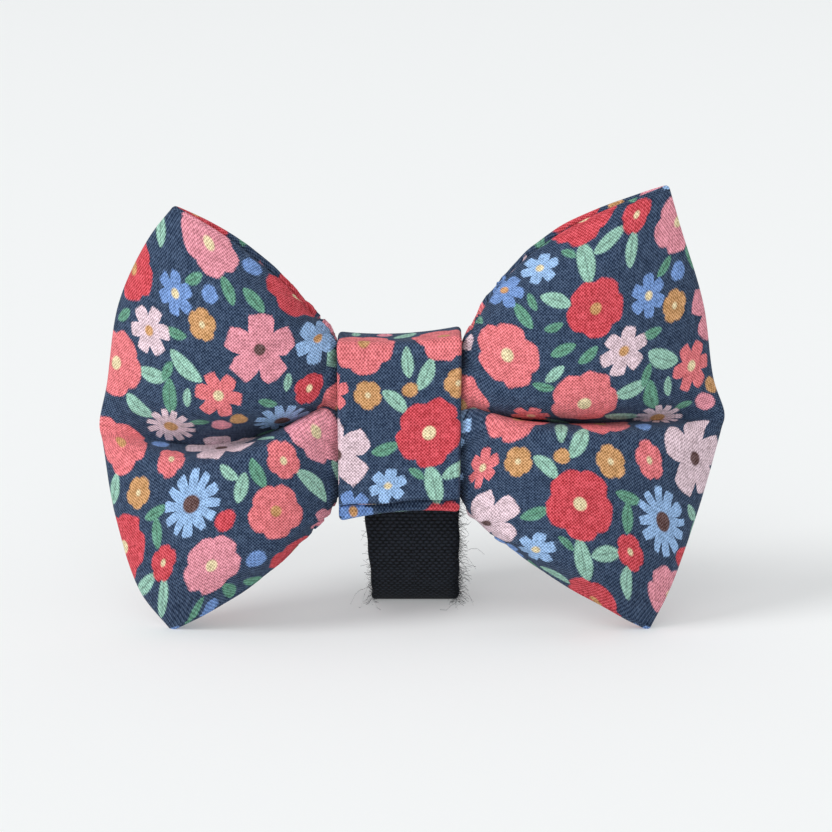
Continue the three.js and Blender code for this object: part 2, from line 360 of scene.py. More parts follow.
def sewn_mesh(name, points, u, v, closed):
    """A closed skin from a grid of points, placed, with the cloth's own coordinates as its UV map.

    The rows close on themselves. The columns do too where closed is true, and otherwise both ends are capped.
    """
    rows, columns = points.shape[0] - 1, points.shape[1] - (1 if closed else 0)
    r, c = np.meshgrid(np.arange(rows), np.arange(points.shape[1] - 1), indexing="ij")
    r, c = r.ravel(), c.ravel()
    corners = np.moveaxis(np.array([[r, c], [r, c + 1], [r + 1, c + 1], [r + 1, c]]), 1, 2)
    where = placed(points[:rows, :columns]).reshape(-1, 3)
    ids = (corners[..., 0] % rows) * columns + corners[..., 1] % columns
    p0, p1, p2, p3 = where[ids]
    volume = (p0 * (np.cross(p1, p2) + np.cross(p2, p3))).sum()
    if volume < 0:
        ids, corners = ids[::-1], corners[::-1]
    faces = ids.T.tolist()
    uv = np.stack([u[corners[..., 0], corners[..., 1]], v[corners[..., 0], corners[..., 1]]], axis=-1)
    uv = np.moveaxis(uv, 0, 1).reshape(-1, 2)
    if not closed:
        first = (np.arange(rows) * columns).tolist()
        last = (np.arange(rows) * columns + columns - 1).tolist()
        ends = [(last, -1), (first[::-1], 0)] if volume >= 0 else [(last[::-1], -1), (first, 0)]
        for loop, column in ends:
            faces.append(loop)
            order = np.array(loop) // columns
            uv = np.concatenate([uv, np.stack([u[order, column], v[order, column]], axis=-1)])
    mesh = bpy.data.meshes.new(name)
    mesh.from_pydata(where.tolist(), [], faces)
    mesh.uv_layers.new(name="cloth").data.foreach_set("uv", uv.astype(np.float32).ravel())
    mesh.validate()
    mesh.shade_smooth()
    return mesh


def new_piece(context, name, mesh, material, slot, *nodes):
    """Puts a mesh in the scene as a finished piece that stands for the given CAD nodes."""
    piece = bpy.data.objects.new(name, mesh)
    context.scene.collection.objects.link(piece)
    mesh.materials.append(material)
    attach(piece, "root")
    if nodes:
        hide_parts(*nodes)
    return piece


# ---------------------------------------------------------------------------
# Shader arithmetic
# ---------------------------------------------------------------------------


class Wire:
    """A socket in a material. Arithmetic on it adds Math nodes, and node() adds any other node."""

    def __init__(self, tree, socket=None):
        self.tree = tree
        self.socket = socket

    def node(self, kind, settings=None, inputs=None, output=0):
        made = self.tree.nodes.new(kind)
        for key, value in (settings or {}).items():
            setattr(made, key, value)
        for key, value in (inputs or {}).items():
            if isinstance(value, Wire):
                self.tree.links.new(value.socket, made.inputs[key])
            else:
                made.inputs[key].default_value = value
        return Wire(self.tree, made.outputs[output] if made.outputs else None)

    def output(self, key):
        return Wire(self.tree, self.socket.node.outputs[key])

    def math(self, operation, *values):
        return self.node("ShaderNodeMath", {"operation": operation}, dict(enumerate(values)))

    def __add__(self, other):
        return self.math("ADD", self, other)

    def __radd__(self, other):
        return self.math("ADD", other, self)

    def __sub__(self, other):
        return self.math("SUBTRACT", self, other)

    def __rsub__(self, other):
        return self.math("SUBTRACT", other, self)

    def __mul__(self, other):
        return self.math("MULTIPLY", self, other)

    def __rmul__(self, other):
        return self.math("MULTIPLY", other, self)

    def __truediv__(self, other):
        return self.math("DIVIDE", self, other)

    def __rtruediv__(self, other):
        return self.math("DIVIDE", other, self)

    def __pow__(self, other):
        return self.math("POWER", self, other)

    def __abs__(self):
        return self.math("ABSOLUTE", self)

    def clamped(self):
        return self.node("ShaderNodeClamp", {}, {"Value": self})

    def xyz(self):
        parts = self.node("ShaderNodeSeparateXYZ", {}, {0: self})
        return parts, parts.output(1), parts.output(2)

    def mixed(self, factor, first, second, blend="MIX"):
        settings = {"data_type": "RGBA", "blend_type": blend}
        return self.node("ShaderNodeMix", settings, {0: factor, 6: first, 7: second}, 2)

    def shaded(self, brightness):
        """This colour, made brighter or darker by a number that changes over the surface."""
        return self.mixed(1.0, self, brightness, "MULTIPLY")

    def attribute(self, name, output="Vector"):
        return self.node("ShaderNodeAttribute", {"attribute_name": name}, {}, output)

    def noise(self, vector, scale, detail=2.0, roughness=0.5):
        inputs = {"Vector": vector, "Scale": scale, "Detail": detail, "Roughness": roughness}
        return self.node("ShaderNodeTexNoise", {"noise_dimensions": "3D"}, inputs)

    def combined(self, x, y, z):
        return self.node("ShaderNodeCombineXYZ", {}, {0: x, 1: y, 2: z})

    def plain(self, colour):
        """A colour that is the same all over, to build on."""
        made = self.node("ShaderNodeRGB")
        made.socket.default_value = (*colour, 1.0)
        return made

    def raised(self, strength, distance):
        """Bumps whose height is this number, distance metres high at 1."""
        return self.node("ShaderNodeBump", {}, {"Strength": strength, "Distance": distance, "Height": self})

    def into(self, socket):
        self.tree.links.new(self.socket, socket)


def new_material(name, roughness, sheen, specular):
    """A material with one Principled shader, and a wire to build on."""
    material = bpy.data.materials.new(name)
    material.use_nodes = True
    shader = material.node_tree.nodes["Principled BSDF"]
    shader.inputs["Roughness"].default_value = roughness
    shader.inputs["Sheen Weight"].default_value = sheen
    shader.inputs["Sheen Roughness"].default_value = 0.5
    shader.inputs["Specular IOR Level"].default_value = specular
    return material, shader, Wire(material.node_tree)


# ---------------------------------------------------------------------------
# The print: common flowers and leaves, strewn at random over one repeat, in millimetres on the cloth.
# ---------------------------------------------------------------------------

INKS = dict(
    coral=linear(233, 116, 120),
    rose=linear(232, 146, 160),
    red=linear(212, 58, 68),
    blush=linear(230, 202, 211),
    sky=linear(150, 186, 230),
    blue=linear(112, 148, 208),
    cream=linear(234, 214, 168),
    gold=linear(208, 152, 92),
    brown=linear(92, 54, 46),
    mint=linear(150, 196, 176),
    leaf=linear(94, 152, 124),
)

# Petals, how deep the gaps between them are, how sharply the gaps narrow, the heart's radius as a share of
# the flower's, and how streaky the petals are. A heart below 0 is none.
BLOOM_COLUMNS = ("petals", "depth", "gain", "heart_size", "streaks")
BLOOMS = dict(
    poppy=(5, 0.14, 1.5, 0.20, 0.4),
    blossom=(5, 0.44, 1.4, 0.17, 0.4),
    primrose=(6, 0.42, 1.4, 0.22, 0.4),
    daisy=(12, 0.46, 1.4, 0.30, 0.3),
    marigold=(16, 0.30, 1.5, 0.42, 0.4),
    bud=(3, 0.10, 1.5, -1.0, 0.2),
)

# How the flowers are strewn: the tries at placing one, its radius in millimetres, and its inks.
FLOWER_COLUMNS = ("kind", "tries", "least", "most", "petals", "hearts")
FLOWERS = (
    ("poppy", 26, 5.6, 7.0, ("coral", "coral", "red", "rose"), ("gold", "cream")),
    ("blossom", 34, 5.6, 7.6, ("blush", "cream", "rose", "blush"), ("brown", "gold")),
    ("marigold", 12, 5.0, 6.0, ("gold", "cream"), ("brown",)),
    ("daisy", 40, 4.8, 6.2, ("sky", "sky", "blush"), ("gold", "brown")),
    ("primrose", 260, 3.6, 4.8, ("blue", "sky", "coral", "blush"), ("cream", "gold")),
    ("poppy", 300, 2.9, 3.8, ("red", "coral", "gold"), ("cream",)),
)
BUDS = (("bud", 300, 1.5, 2.4, ("red", "gold", "blue", "rose"), ("gold",)),)
PRINT_REPEAT = (97.0, 74.0)
PRINT_SEED = 41
ROOM = 0.2  # the least ground between two neighbours, in millimetres
FLATNESS = (0.86, 1.0)  # a flower's breadth over its length
LOBE_REACH = 1.04  # of a flower's radius, how far its petals may reach
LEAF_TRIES = 700
LEAF_WIDTH = 0.42  # of its length
LEAF_ROOM = 0.58  # of its length, the radius of the ground that it takes up
LEAF_BEND = 0.25  # either way, of its width
LEAF_AWAY = 0.8  # of its length, how far its middle lies from the rim of its flower
LEAF_BESIDE = (2.6, 4.4)  # half the length of a leaf beside a flower, in millimetres
LEAF_LOOSE = (1.8, 3.6)  # half the length of a leaf by itself
LEAF_SPREAD = 30  # degrees each way, between the two leaves beside a flower
FACE_PAD = 1.1  # how far past its outline a motif claims faces, in millimetres
FAR_OFF = 9.0  # a coordinate outside every motif
KNOT_CUT_AT = (31.0, 18.0)  # where on the print the knot's cloth was cut


def wrapped(distance, repeat):
    """The shorter way round to the nearest copy of a motif."""
    return (distance + repeat / 2) % repeat - repeat / 2


def strewn():
    """One repeat of the print: flowers, then leaves beside them, then buds and leaves where there is room."""
    chance = random.Random(PRINT_SEED)
    wide, high = PRINT_REPEAT
    blooms, leaves, taken = [], [], []

    def has_room(u, v, radius):
        for other_u, other_v, other_radius in taken:
            apart = math.hypot(wrapped(u - other_u, wide), wrapped(v - other_v, high))
            if apart < radius + other_radius + ROOM:
                return False
        taken.append((u, v, radius))
        return True

    def add_flowers(rows):
        for row in rows:
            flower = dict(zip(FLOWER_COLUMNS, row))
            for _ in range(flower["tries"]):
                u, v, turn = chance.uniform(0, wide), chance.uniform(0, high), chance.uniform(0, 360)
                radius, flatness = chance.uniform(flower["least"], flower["most"]), chance.uniform(*FLATNESS)
                petal, heart = chance.choice(flower["petals"]), chance.choice(flower["hearts"])
                if has_room(u, v, radius):
                    place = dict(u=u, v=v, long=radius, wide=radius * flatness, turn=turn)
                    blooms.append(dict(kind=flower["kind"], petal=petal, heart=heart, **place))

    def add_leaf(u, v, long, turn):
        if has_room(u, v, long * LEAF_ROOM):
            bend, colour = chance.uniform(-LEAF_BEND, LEAF_BEND), chance.choice(("mint", "leaf"))
            place = dict(u=u, v=v, long=long, wide=long * LEAF_WIDTH, turn=turn)
            leaves.append(dict(bend=bend, colour=colour, **place))

    add_flowers(FLOWERS)
    for bloom in blooms:
        start = chance.uniform(0, 360)
        for way in (start - LEAF_SPREAD, start + LEAF_SPREAD):
            long = chance.uniform(*LEAF_BESIDE)
            away, toward = bloom["long"] + long * LEAF_AWAY, math.radians(way)
            add_leaf(bloom["u"] + away * math.cos(toward), bloom["v"] + away * math.sin(toward), long, way)
    add_flowers(BUDS)
    for _ in range(LEAF_TRIES):
        u, v = chance.uniform(0, wide), chance.uniform(0, high)
        add_leaf(u, v, chance.uniform(*LEAF_LOOSE), chance.uniform(0, 360))
    return blooms, leaves


def claimed(motif, u, v):
    """A motif's own coordinates at points of the cloth, and which points are in its outline or near it."""
    turn = math.radians(motif["turn"])
    du, dv = wrapped(u - motif["u"], PRINT_REPEAT[0]), wrapped(v - motif["v"], PRINT_REPEAT[1])
    along, across = du * math.cos(turn) + dv * math.sin(turn), dv * math.cos(turn) - du * math.sin(turn)
    reach_long = motif["long"] * LOBE_REACH + FACE_PAD
    reach_wide = motif["wide"] * (1 + abs(motif.get("bend", 0))) + FACE_PAD
    inside = (along / reach_long) ** 2 + (across / reach_wide) ** 2 < 1
    return along / motif["long"], across / motif["wide"], inside


def lay_out(mesh, motifs, prefix, paint, cut_at):
    """Shares motifs out over layers that keep them apart, and paints each layer's attributes on the faces.

    paint(motif) gives the numbers and colours that stay the same over a motif. Returns the number of layers.
    """
    uv = np.empty(len(mesh.loops) * 2, np.float32)
    mesh.uv_layers["cloth"].data.foreach_get("uv", uv)
    u, v = uv[0::2].astype(float) + cut_at[0], uv[1::2].astype(float) + cut_at[1]
    sizes = np.empty(len(mesh.polygons), np.int32)
    mesh.polygons.foreach_get("loop_total", sizes)
    owner = np.repeat(np.arange(len(sizes)), sizes)
    layers = []
    for motif in motifs:
        x, y, inside = claimed(motif, u, v)
        mine = np.zeros(len(sizes), bool)
        mine[owner[inside]] = True
        layer = next((k for k in layers if not (k["taken"] & mine).any()), None)
        if layer is None:
            layer = dict(taken=np.zeros(len(sizes), bool), at=np.full((len(u), 3), FAR_OFF), fixed={})
            layers.append(layer)
        layer["taken"] |= mine
        corners = mine[owner]
        size = np.full(corners.sum(), motif["wide"])
        layer["at"][corners] = np.stack([x[corners], y[corners], size], axis=1)
        for key, value in paint(motif).items():
            layer["fixed"].setdefault(key, np.zeros((len(sizes), len(value))))[mine] = value
    for k, layer in enumerate(layers):
        at = mesh.attributes.new(f"{prefix}_{k}_at", "FLOAT_VECTOR", "CORNER")
        at.data.foreach_set("vector", layer["at"].astype(np.float32).ravel())
        for key, values in layer["fixed"].items():
            is_colour = values.shape[1] == 4
            kind, field = ("FLOAT_COLOR", "color") if is_colour else ("FLOAT_VECTOR", "vector")
            data = mesh.attributes.new(f"{prefix}_{k}_{key}", kind, "FACE").data
            data.foreach_set(field, values.astype(np.float32).ravel())
    return len(layers)


def bloom_paint(motif):
    kind = dict(zip(BLOOM_COLUMNS, BLOOMS[motif["kind"]]))
    return dict(
        form=(kind["petals"], kind["depth"], kind["gain"]),
        more=(kind["heart_size"], kind["streaks"], 0.0),
        petal=(*INKS[motif["petal"]], 1.0),
        heart=(*INKS[motif["heart"]], 1.0),
    )


def leaf_paint(motif):
    return dict(form=(motif["bend"], 0.0, 0.0), colour=(*INKS[motif["colour"]], 1.0))


INK_EDGE = 2.6  # steepness of a printed edge, per millimetre


def bloom_layer(wire, below, k, thread, wobble):
    """Draws one layer of flowers over a colour."""
    x, y, size = wire.attribute(f"bloom_{k}_at").xyz()
    petals, depth, gain = wire.attribute(f"bloom_{k}_form").xyz()
    heart_size, streaks, _ = wire.attribute(f"bloom_{k}_more").xyz()
    petal = wire.attribute(f"bloom_{k}_petal", "Color")
    heart = wire.attribute(f"bloom_{k}_heart", "Color")
    far = (x * x + y * y) ** 0.5
    swing = (wire.math("ARCTAN2", y, x) + (wobble - 0.5) * 0.35) * petals
    lobes = wire.math("MINIMUM", gain * abs(wire.math("COSINE", swing * 0.5)), 1.0)
    edge = (1 - depth * (1 - lobes)) * (0.92 + wobble * 0.16)
    inside = ((edge - far) * size * INK_EDGE + 0.5 + thread * 0.3).clamped()
    ray = wire.math("COSINE", swing * 2.5)
    inner = (1 - far / edge).clamped()
    tone = 1.03 - streaks * 0.08 * (0.3 + inner) * (1 + ray) - inner * streaks * 0.12 + (wobble - 0.5) * 0.14
    centre = ((heart_size * (0.9 + wobble * 0.2) - far) * size * INK_EDGE + 0.5).clamped()
    colour = wire.mixed(centre, petal.shaded(tone), heart.shaded(0.85 + wobble * 0.3))
    return wire.mixed(inside, below, colour)


def leaf_layer(wire, below, k, thread, wobble):
    """Draws one layer of leaves over a colour."""
    x, y, size = wire.attribute(f"leaf_{k}_at").xyz()
    bend, _, _ = wire.attribute(f"leaf_{k}_form").xyz()
    colour = wire.attribute(f"leaf_{k}_colour", "Color")
    level = wire.math("MAXIMUM", 1 - x * x, 0.0)
    across = abs(y - bend * (1 - x * x))
    past = wire.math("MAXIMUM", abs(x) - 1, 0.0)
    edge = level**0.7 * (0.88 + wobble * 0.24)
    inside = ((edge - across - past * 20) * size * INK_EDGE + 0.5 + thread * 0.3).clamped()
    midrib = (1 - across * size * 3.5).clamped() * level
    return wire.mixed(inside, below, colour.shaded(1.05 - midrib * 0.5 - across * 0.06))


def printed(mesh, cut_at):
    """Lays the print out on a mesh. Returns how many layers of leaves and of flowers there are."""
    blooms, leaves = strewn()
    leaf_count = lay_out(mesh, leaves, "leaf", leaf_paint, cut_at)
    return leaf_count, lay_out(mesh, blooms, "bloom", bloom_paint, cut_at)


BARE_THREAD = (0.50, 0.62, 0.74, 1.0)  # what shows where the print has not soaked in


def cloth_material(name, ground, pitch, layers):
    """Plain-woven cotton with the print soaked into its threads."""
    material, shader, wire = new_material(name, 0.92, 0.04, 0.12)
    spot = wire.attribute("cloth")
    u, v, _ = spot.xyz()
    warp = (u + wire.noise(spot, 0.3, 2.0) * 0.4) * (math.pi / pitch)
    weft = (v + wire.noise(wire.combined(u, v, 40.0), 0.3, 2.0) * 0.4) * (math.pi / pitch)
    weave = wire.math("SINE", warp) * wire.math("SINE", weft)
    warp_slub = wire.noise(wire.combined(u / pitch * 0.8, v * 0.5, 3.0), 1.0, 2.0)
    weft_slub = wire.noise(wire.combined(u * 0.5, v / pitch * 0.8, 9.0), 1.0, 2.0)
    slub = warp_slub + weft_slub - 1
    wobble = wire.noise(spot, 0.28, 1.0)
    colour = wire.plain(ground).shaded(0.86 + wire.noise(spot, 0.12, 3.0) * 0.28)
    leaf_count, bloom_count = layers
    for k in range(leaf_count):
        colour = leaf_layer(wire, colour, k, weave, wobble)
    for k in range(bloom_count):
        colour = bloom_layer(wire, colour, k, weave, wobble)
    lit = (0.5 + weave * 0.6 + slub * 1.1).clamped()
    colour = wire.mixed(lit * 0.11, colour, BARE_THREAD)
    colour.shaded(0.50 + lit * 0.78 + slub * 0.25).into(shader.inputs["Base Color"])
    (lit + slub * 0.4).raised(0.8, 0.00014).into(shader.inputs["Normal"])
    return material


# ---------------------------------------------------------------------------
# The pieces
# ---------------------------------------------------------------------------


def ripple(u, v):
    """Soft unevenness of pressed cotton, as a height in millimetres."""
    low = np.sin(u * 0.21 + 1.3 * np.sin(v * 0.13)) * np.sin(v * 0.17 + 0.8 + 0.9 * np.sin(u * 0.11))
    mid = np.sin(u * 0.47 + v * 0.31 + 1.1) * np.sin(v * 0.52 - u * 0.19 + 0.4)
    return 0.22 * low + 0.08 * mid


def gathers(u, v, x):
    """Small pleats that run out from the knot and fade on the wing."""
    fade = np.exp(-np.maximum(np.abs(x) - NECK_X, 0) / 9.0)
    wave = np.sin(v * 0.95 + 0.6 * np.sin(u * 0.2)) + 0.6 * np.sin(v * 1.7 + 1.0)
    return 0.22 * fade * wave


RIM_DRAWN_IN = 0.6  # how far the wings' mouths are drawn in before their rims are rounded
SWELL_FADES = 2.0  # how near the outer fold the ripples fade out


def bow_mesh():
    """The ring of doubled cloth, rippled, with gathers beside the knot."""
    mid, u, v = bow_surface()
    for end, neighbour in ((0, 1), (-1, -2)):
        inward = mid[neighbour] - mid[end]
        mid[end] += inward / np.linalg.norm(inward, axis=1, keepdims=True) * RIM_DRAWN_IN
    swell = ripple(u, v) + gathers(u, v, mid[..., 0])
    ease = np.minimum(np.abs(mid[..., 1]) / SWELL_FADES, 1.0)
    mid = mid + surface_normals(mid, True) * (swell * ease)[..., None]
    points, runs = shell(mid, v, CLOTH, True)
    return sewn_mesh("bow_cloth", points, shell_rows(u), runs, True)


def shell_rows(values):
    """What each row of a wall's outline takes from the middle surface it lies on."""
    middle = len(values) // 2
    order = [*range(middle, -1, -1), *[0] * RIM_STEPS, *range(len(values)), *[-1] * RIM_STEPS]
    return values[[*order, *range(len(values) - 1, middle - 1, -1)]]


CREASE = dict(z=MIDDLE_Z - 14.4, slope=0.06, sharpness=0.05, step=1.2, lip=0.55, groove=1.0)
KNOT_STATIONS = 41  # sections across the knot
KNOT_STEPS = 400  # points round each section
KNOT_EASING = 14  # times that its corners are rounded
KNOT_STRETCH = 1.05  # how much coarser the weave looks where the knot pulls it


def creased(points):
    """How far back the knot's front steps at its foot, where the cloth is turned under along a crease."""
    x, y, z = np.moveaxis(points, -1, 0)
    up = z - CREASE["z"] - CREASE["slope"] * x - 0.2 * np.sin(x * 0.5)
    on_front = smooth((-KNOT["front"] + 1.3 - y) / 0.6)
    below = 1 / (1 + np.exp(np.clip(up / CREASE["sharpness"], -50, 50)))
    lip = np.exp(-(((up - 0.7) / 0.8) ** 2))
    groove = np.exp(-(((up + 0.25) / 0.3) ** 2))
    return on_front * (CREASE["step"] * below - CREASE["lip"] * lip + CREASE["groove"] * groove)


def knot_mesh():
    """The band round the pinch, flared at both ends, tapered, askew, and creased across its front's foot."""
    stations = np.linspace(-1, 1, KNOT_STATIONS)
    sections = []
    for share in stations:
        x = share * (KNOT["width"] - KNOT["wall"]) / 2
        outline = knot_section(KNOT["flare"] * (share**2 - 1), SEWN_FOOT, 8)
        section = eased(resampled(outline, KNOT_STEPS), KNOT_EASING)
        y, z = section[:, 0], section[:, 1]
        front = y < -KNOT["front"] + 3.2
        y = y + front * 0.12 * np.sin(z * 0.35 + x * 0.28) * (z > CREASE["z"] + 4)
        x_here = x * (1 + KNOT["taper"] * np.sin((z - MIDDLE_Z) / KNOT["height"]))
        low = smooth((MIDDLE_Z - z) * 2 / KNOT["height"])
        sections.append(stack(x_here, y, z + KNOT["askew"] * x * (1 + 0.7 * low)))
    mid = np.array(sections)
    steps = step_lengths(mid, 1, [1, 2])
    run = np.concatenate([np.zeros((len(mid), 1)), np.cumsum(steps, axis=1)], axis=1)
    centre = mid[KNOT_STATIONS // 2]
    front_column = np.argmin(np.where(centre[:, 1] < 0, np.abs(centre[:, 2] - MIDDLE_Z), np.inf))
    length = run - run[:, front_column : front_column + 1]
    x = mid[..., 0]
    points, runs = shell(mid, x, KNOT["wall"], True)
    points[..., 1] += creased(points)
    return sewn_mesh("knot_cloth", points, runs, shell_rows(length), True)


def resampled(outline, count):
    """Even steps along a closed outline."""
    loop = np.concatenate([outline, outline[:1]])
    run = path_lengths(loop)
    back = run[np.argmin(np.abs(outline[:, 1] - MIDDLE_Z) - outline[:, 0])]
    at = (back + np.linspace(0, run[-1], count + 1)) % run[-1]
    return np.stack([np.interp(at, run, loop[:, k]) for k in (0, 1)], axis=1)


def eased(loop, times):
    """Rounds the corners of a closed outline whose last point repeats its first."""
    for _ in range(times):
        core = loop[:-1]
        core = core * 0.5 + (np.roll(core, 1, axis=0) + np.roll(core, -1, axis=0)) * 0.25
        loop = np.concatenate([core, core[:1]])
    return loop


STRAP = dict(width=19.4, centre_x=2.4, foot_y=25.0, foot_flat=2.6, foot_bend=7.0, back_y=31.0)
SEWN = dict(top=MIDDLE_Z + 15, end=MIDDLE_Z - 14)  # the stretch of tape sewn to the knot's back
BACK_RUN = dict(foot=28.0, bulge=0.5, bulge_z=38.0, top=43.0, top_in=2.5)  # the strap's back, upwards
HOOK = dict(top=54.5, sewn_from=40.0, sewn=5.0, end=20.0, over=20.0)
NARROWED = dict(by=1.5, start=30.0, over=26.0, end=66.0, back_over=20.0)  # along the tape, round its foot


def joined(parts):
    """One path out of stretches that share their end points."""
    return np.concatenate([parts[0], *[np.array(p)[1:] for p in parts[1:]]])


def straight(start, end, steps):
    return np.linspace(start, end, steps + 1)


def back_curve(back):
    """The control points of a tape's back, which bulges and then leans in towards its top."""
    bulge = (back - BACK_RUN["bulge"], BACK_RUN["bulge_z"])
    return (back, BACK_RUN["foot"]), bulge, (back - BACK_RUN["top_in"], BACK_RUN["top"])


def loop_route():
    """The soft-sided tape: flat down the knot's back, under it to the floor, and up behind."""
    seat, foot = KNOT["back"] + TAPE_GAP + TAPE / 2, TAPE / 2 + FLOOR_DENT / 2
    flat_from, flat_to = (STRAP["foot_y"] + side * STRAP["foot_flat"] / 2 for side in (-1, 1))
    back, bend = STRAP["back_y"], STRAP["foot_bend"]
    back_foot, back_bulge, back_top = back_curve(back)
    parts = [
        straight((seat, SEWN["top"]), (seat, SEWN["end"]), 30),
        cubic((seat, SEWN["end"]), (seat, 14), (flat_from - bend, foot), (flat_from, foot), 50),
        straight((flat_from, foot), (flat_to, foot), 8),
        cubic((flat_to, foot), (flat_to + bend * 0.75, foot), (back + 1, 10), back_foot, 44),
        quadratic(back_foot, back_bulge, back_top, 18),
    ]
    return joined(parts)


def hook_route():
    """The hooked tape: sewn over the first one's upper end, over to the back, and down inside the loop."""
    seat, inside = KNOT["back"] + 2 * TAPE_GAP + 1.5 * TAPE, TAPE + 0.6
    top, back = HOOK["top"], STRAP["back_y"] - inside
    sewn_from, sewn_to = HOOK["sewn_from"], HOOK["sewn_from"] + HOOK["sewn"]
    back_foot, back_bulge, back_top = back_curve(back)
    parts = [
        straight((seat, sewn_from), (seat, sewn_to), 6),
        quadratic((seat, sewn_to), (seat, top), (HOOK["over"], top), 24),
        quadratic((HOOK["over"], top), (back - 3.5, top), back_top, 20),
        quadratic(back_top, back_bulge, back_foot, 14),
        straight(back_foot, (back + 0.3, HOOK["end"]), 8),
    ]
    return joined(parts)


def path_lengths(route):
    """How far along a route each of its points is."""
    return np.concatenate([[0], np.cumsum(np.linalg.norm(np.diff(route, axis=0), axis=1))])


def tape_mesh(name, route, wave):
    """A flat woven band along a route, a little wavy at its edges, with rounded edges."""
    run = path_lengths(route)
    reach = (STRAP["width"] - TAPE) / 2
    across = np.linspace(-reach, reach, 25)
    narrowing = smooth((run - NARROWED["start"]) / NARROWED["over"])
    widening = smooth((run - NARROWED["end"]) / NARROWED["back_over"])
    drawn_in = NARROWED["by"] * narrowing * (1 - widening)
    breadth = 1 - drawn_in / STRAP["width"]
    x = STRAP["centre_x"] + across[:, None] * breadth + drawn_in / 2 + wave * np.sin(run * 0.8)
    mid = stack(x, route[None, :, 0], route[None, :, 1])
    points, runs = shell(mid, np.broadcast_to(across[:, None], mid.shape[:2]), TAPE, False)
    return sewn_mesh(name, points, runs, np.broadcast_to(run, points.shape[:2]), False)


# ---------------------------------------------------------------------------
# The add-on
# ---------------------------------------------------------------------------


class BowTieSizes(bpy.types.PropertyGroup):
    thread_pitch: FloatProperty(
        name="Thread Pitch",
        description="Distance between neighbouring threads of the cotton",
        default=0.00032,
        precision=5,
        subtype="DISTANCE",
        unit="LENGTH",
    )
    tape_rib: FloatProperty(
        name="Tape Rib",
        description="Distance between neighbouring ribs of the nylon tape",
        default=0.00074,
        precision=5,
        subtype="DISTANCE",
        unit="LENGTH",
    )
    fuzz_count: IntProperty(
        name="Fuzz",
        description="How many loose fibres stand out of the tape's edges",
        default=2200,
        min=0,
    )


class BowTieColours(bpy.types.PropertyGroup):
    ground: FloatVectorProperty(
        name="Ground",
        description="The cotton's colour between the flowers",
        default=linear(30, 52, 84),
        size=3,
        subtype="COLOR",
    )
    tape: FloatVectorProperty(
        name="Tape",
        description="The nylon tape's colour",
        default=linear(28, 32, 39),
        size=3,
        subtype="COLOR",
    )
    floor: FloatVectorProperty(
        name="Floor",
        description="The colour of the floor",
        default=linear(241, 243, 243),
        size=3,
        subtype="COLOR",
    )


class BOWTIE_OT_bow(bpy.types.Operator):
    """Sew the ring of doubled cloth whose two lobes are the wings"""

    bl_idname = "bowtie.bow"
    bl_label = "Bow"

    def execute(self, context):
        scene = context.scene
        mesh = bow_mesh()
        layers = printed(mesh, (0.0, 0.0))
        pitch = scene.bow_tie_sizes.thread_pitch / MM
        cloth = cloth_material("bow_cotton", scene.bow_tie_colours.ground, pitch, layers)
        piece = new_piece(context, "bow_cloth", mesh, cloth, "bow_cloth", "bow_ring")
        return {"FINISHED"}


class BOWTIE_OT_knot(bpy.types.Operator):
    """Wrap the cloth band that pinches the bow"""

    bl_idname = "bowtie.knot"
    bl_label = "Knot"

    def execute(self, context):
        scene = context.scene
        mesh = knot_mesh()
        layers = printed(mesh, KNOT_CUT_AT)
        pitch = scene.bow_tie_sizes.thread_pitch / MM * KNOT_STRETCH
        cloth = cloth_material("knot_cotton", scene.bow_tie_colours.ground, pitch, layers)
        piece = new_piece(context, "knot_cloth", mesh, cloth, "knot_cloth", "knot_band")
        return {"FINISHED"}


SELVEDGE = (6.4, 0.35)  # where the woven edge's line lies across the tape, and half its width


def tape_material(name, colour, rib, soft):
    """Ribbed nylon tape, with a selvedge along one edge."""
    material, shader, wire = new_material(name, 0.7, 0.0, 0.15)
    spot = wire.attribute("cloth")
    u, v, _ = spot.xyz()
    row = (v + wire.noise(spot, 0.4, 2.0) * 0.25) * (math.pi / rib)
    column = (u + wire.noise(wire.combined(u, v, 20.0), 0.5, 2.0) * 0.25) * (math.pi / (rib * 0.9))
    weave = wire.math("SINE", row) * wire.math("SINE", column)
    ridge = abs(wire.math("SINE", row))
    selvedge = wire.math("COMPARE", u, *SELVEDGE)
    grain = wire.noise(spot, 2.4, 3.0, 0.7)
    patch = wire.noise(spot, 0.35, 3.0, 0.6)
    height = ridge * 0.55 + weave * 0.45
    tone = (height * 1.5 + (grain - 0.5) * 1.6 + (patch - 0.5) * 0.8 - selvedge * 0.5).clamped() + 0.1
    wire.plain(colour).shaded(tone * 1.9).into(shader.inputs["Base Color"])
    (height + grain * soft).raised(1.0, 0.0003).into(shader.inputs["Normal"])
    return material


class BOWTIE_OT_tapes(bpy.types.Operator):
    """Loop the two hook-and-loop tapes behind the knot"""

    bl_idname = "bowtie.tapes"
    bl_label = "Strap"

    def execute(self, context):
        scene = context.scene
        rib = scene.bow_tie_sizes.tape_rib / MM
        # Name, route, how wavy its edges are, the solid, the cut, and how much its pile roughens it.
        rows = (
            ("loop_tape", loop_route(), 0.10, "strap_loop_tape", LOOP_TAPE_CUT, 0.5),
            ("hook_tape", hook_route(), 0.05, "strap_hook_tape", HOOK_TAPE_CUT, 1.0),
        )
        for name, route, wave, node, cut, soft in rows:
            mesh = tape_mesh(name, route, wave)
            tape = tape_material(name + "_nylon", scene.bow_tie_colours.tape, rib, soft)
            piece = new_piece(context, name, mesh, tape, name, node)
        return {"FINISHED"}


